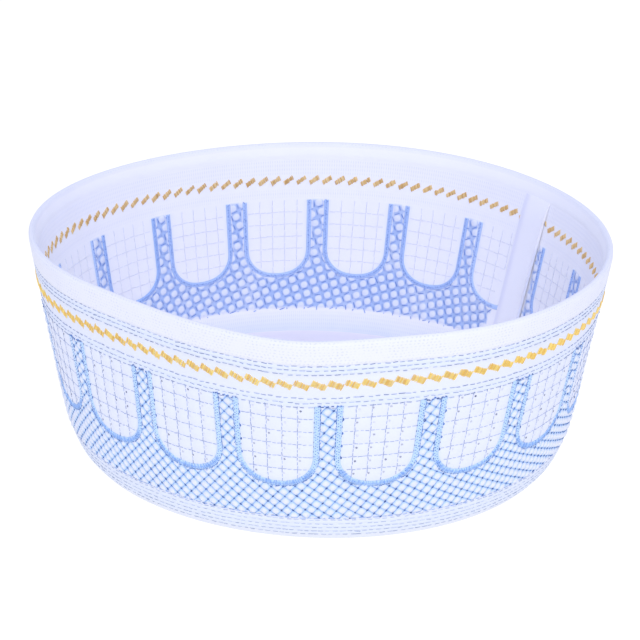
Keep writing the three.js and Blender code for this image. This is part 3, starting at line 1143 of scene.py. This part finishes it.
def keep_in_net(starts, ends, margin, top=ARCH_TOP):
    """Cuts lines back to the net's own ground, and drops those that lie outside it."""
    (turn_a, height_a), (turn_b, height_b) = starts, ends
    shares = np.linspace(0, 1, LINE_PARTS)
    turn = turn_a[:, None] + (turn_b - turn_a)[:, None] * shares
    height = height_a[:, None] + (height_b - height_a)[:, None] * shares
    inside = (arch_edge(turn, height) > margin) & (height < top) & (height > NET_FOOT - 0.2)
    share_a = np.where(inside, shares, 2).min(axis=1)
    share_b = np.where(inside, shares, -1).max(axis=1)
    kept = share_b - share_a > LEAST_SHARE
    place = [(turn_a, turn_b), (height_a, height_b)]
    new_starts = [(a + (b - a) * share_a)[kept] for a, b in place]
    new_ends = [(a + (b - a) * share_b)[kept] for a, b in place]
    return new_starts, new_ends


numbers = np.arange(-LINES_EACH_WAY, LINES_EACH_WAY)
rising, falling = (part.ravel() for part in np.meshgrid(numbers, numbers))
turn, height = net_place(rising, falling)
on_strip = (height > NET_FOOT - 2 * NET_CELL) & (height < ARCH_TOP + NET_CELL)
on_strip &= (turn > SEAM_TURN + SEAM_CLEAR[0]) & (turn < SEAM_TURN + ARCHES - SEAM_CLEAR[1])
rising, falling = rising[on_strip], falling[on_strip]

net_thread = thread("blue net thread", linear(178, 203, 244), linear(124, 163, 227))
for name, rising_step, falling_step in (("net_lines_falling", 1, 0), ("net_lines_rising", 0, 1)):
    ends = net_place(rising + rising_step, falling + falling_step)
    starts, ends = keep_in_net(net_place(rising, falling), ends, margin=0.55)
    ways = dashes(starts, ends, SHORT_SHARES)
    sew(name, ways, NET_RISE, NET_THREAD, net_thread, sides=4, flatness=0.8)

turn, height = net_place(rising, falling)
in_net = (arch_edge(turn, height) > 0.9) & (height > NET_FOOT - 0.3) & (height < ARCH_TOP)
rising, falling = rising[in_net], falling[in_net]
reach = chance.uniform(*CROSSING_REACH, len(rising))
sewn_up = chance.random(len(rising)) < 0.5
starts = net_place(rising - reach * ~sewn_up, falling - reach * sewn_up)
ends = net_place(rising + reach * ~sewn_up, falling + reach * sewn_up)
knot_thread = thread("dark blue thread", linear(96, 136, 208), linear(40, 76, 148))
running_stitch("net_foot_row", (NET_FOOT - 0.1,), net_thread)
ways = dashes(starts, ends, SHORT_SHARES)
sew("net_knots", ways, CROSSING_RISE, CROSSING_SIZE * SHORT_WIDTH, knot_thread, sides=4, flatness=0.7)

# Pillar tops: a level row of four short dark blue stitches at the top of every pillar between the arches.
# They end the net there, and go through the cloth as the running rows do.
TOP_DASHES = np.array([-2.3, -0.9, 0.5, 1.9])  # millimetres from the middle of a pillar
TOP_LENGTH = 1.0
TOP_DOWN = 0.5
TOP_THREAD = 0.16
TOP_JITTER = 0.12
turn = (np.arange(ARCHES)[:, None] + TOP_DASHES / ARCH_PITCH).ravel()
height = np.full(len(turn), ARCH_TOP - TOP_DOWN) + chance.normal(0, TOP_JITTER, len(turn))
ways = dashes((turn, height), (turn + TOP_LENGTH / ARCH_PITCH, height), STITCH_SHARES)
sew("pillar_tops", ways, STITCH_RISE, TOP_THREAD * STITCH_WIDTH, knot_thread, sides=4, flatness=0.8)

# Row knots: short upright stitches in the same dark blue thread, where the grid's rows start in every arch.
# They lie close to the outline on the left side of the panel, and both ends go into the cloth.
ROW_START = 1.1  # millimetres in from the outline
ROW_DOWN = 0.4
ROW_REACH = (0.5, 0.7)  # up and down from there
ROW_KNOT_SIZE = 0.32
row_x, row_h = np.full(len(GRID_ROWS), ROW_START - ARCH_HALF), np.array(GRID_ROWS)
in_panel = arch_edge(0.5 + row_x / ARCH_PITCH, row_h) < -0.4
turn, height = (part.ravel() for part in all_arches(row_x[in_panel], row_h[in_panel]))
height = height - ROW_DOWN + chance.normal(0, KNOT_JITTER, len(turn))
ways = dashes((turn, height + ROW_REACH[0]), (turn, height - ROW_REACH[1]), SHORT_SHARES)
sew("row_knots", ways, KNOT_RISE, ROW_KNOT_SIZE * SHORT_WIDTH, knot_thread, sides=5, flatness=0.5)

# Wrong side of the net: soft lines of blue under thread round little round cushions of white cloth.
# The lines run steeply one way and nearly level the other, as the under thread lies.
UNDER_RISE = np.array([0.06, 0.12, 0.06])
UNDER_WIDTH = np.array([0.13, 0.2, 0.13])
UNDER_JITTER = 0.18
UNDER_FROM = 0.2  # shares of the way between two crossings
UNDER_TO = 0.8
STEEP_NUMBERS = np.arange(-40, 160)
SHALLOW_NUMBERS = np.arange(0, 80)
steep, shallow = (part.ravel() for part in np.meshgrid(STEEP_NUMBERS, SHALLOW_NUMBERS))


def inner_place(steep, shallow):
    """Turn and height where the wrong side of the net has those counts."""
    steep_mm = steep * INNER_PITCH / INNER_STEEP_PER_ARCH
    shallow_mm = shallow * INNER_PITCH / INNER_SHALLOW_PER_ARCH
    height = (shallow_mm - steep_mm) / (1 / INNER_SHALLOW_DROP + INNER_STEEP_LEAN)
    return (steep_mm + INNER_STEEP_LEAN * height) / INNER_PITCH, height


def once_only(starts, ends):
    """Leaves the lines that start within one way round."""
    whole = (starts[0] >= 0) & (starts[0] < ARCHES)
    return [part[whole] for part in starts], [part[whole] for part in ends]


def unevenly(places):
    return places + chance.normal(0, UNDER_JITTER, places.shape) * [[1 / INNER_PITCH], [1]]


inner_starts, inner_ends = [], []
for steep_step, shallow_step in ((0, 1), (1, 0)):
    first = inner_place(steep + UNDER_FROM * steep_step, shallow + UNDER_FROM * shallow_step)
    second = inner_place(steep + UNDER_TO * steep_step, shallow + UNDER_TO * shallow_step)
    starts, ends = keep_in_net(*once_only(first, second), margin=0.5, top=ARCH_TOP - 0.9)
    inner_starts.append(starts)
    inner_ends.append(ends)
inner_starts = unevenly(np.concatenate(inner_starts, axis=1))
inner_ends = unevenly(np.concatenate(inner_ends, axis=1))
under_thread = thread("soft blue thread, wrong side", linear(164, 189, 238), linear(112, 144, 214))
ways = dashes(inner_starts, inner_ends, SHORT_SHARES)
sew("inner_net", ways, UNDER_RISE, UNDER_WIDTH, under_thread, sides=5, flatness=0.6, inside=True)

# Set: a white floor, even pale blue light all round with one wide soft light from the front,
# and the camera of the photograph.
FLOOR_GLOW = 0.92
LIGHT_PLACE = Vector((0.1, -1.2, 1.1))
LIGHT_AIM = Vector((0, 0, 0.03))
CAMERA_PLACE = Vector((1.07, -575.2, 295.9)) * MM
CAMERA_AIM = Vector((0.195, 1.062, 38.915)) * MM
scene = bpy.context.scene
floor_shape = bmesh.new()
bmesh.ops.create_grid(floor_shape, x_segments=1, y_segments=1, size=6)
floor_mesh = bpy.data.meshes.new("floor")
floor_shape.to_mesh(floor_mesh)
floor_shape.free()
floor = bpy.data.objects.new("floor", floor_mesh)
scene.collection.objects.link(floor)
floor_material, floor_shader = new_material("white sweep", roughness=0.9, sheen=0.0)
floor_shader.inputs["Base Color"].default_value = (0.15, 0.15, 0.15, 1)
floor_shader.inputs["Emission Color"].default_value = (1, 1, 1, 1)
floor_shader.inputs["Emission Strength"].default_value = FLOOR_GLOW
floor_mesh.materials.append(floor_material)

world = bpy.data.worlds.new("studio")
world.use_nodes = True
world.node_tree.nodes["Background"].inputs["Color"].default_value = (0.715, 0.755, 0.97, 1)
world.node_tree.nodes["Background"].inputs["Strength"].default_value = 0.96
scene.world = world
scene.view_settings.view_transform = "Standard"


def point_at(name, data, place, aim):
    """Puts a light or a camera in its place and turns it to what it looks at."""
    item = bpy.data.objects.new(name, data)
    item.location = place
    item.rotation_euler = (aim - place).to_track_quat("-Z", "Y").to_euler()
    scene.collection.objects.link(item)
    return item


soft_light = bpy.data.lights.new("key", "AREA")
soft_light.size = 1.0
soft_light.energy = 10
point_at("key", soft_light, LIGHT_PLACE, LIGHT_AIM)
lens = bpy.data.cameras.new("camera")
lens.sensor_width = 36
lens.lens = 108.6
lens.clip_start = 0.01
scene.camera = point_at("camera", lens, CAMERA_PLACE, CAMERA_AIM)
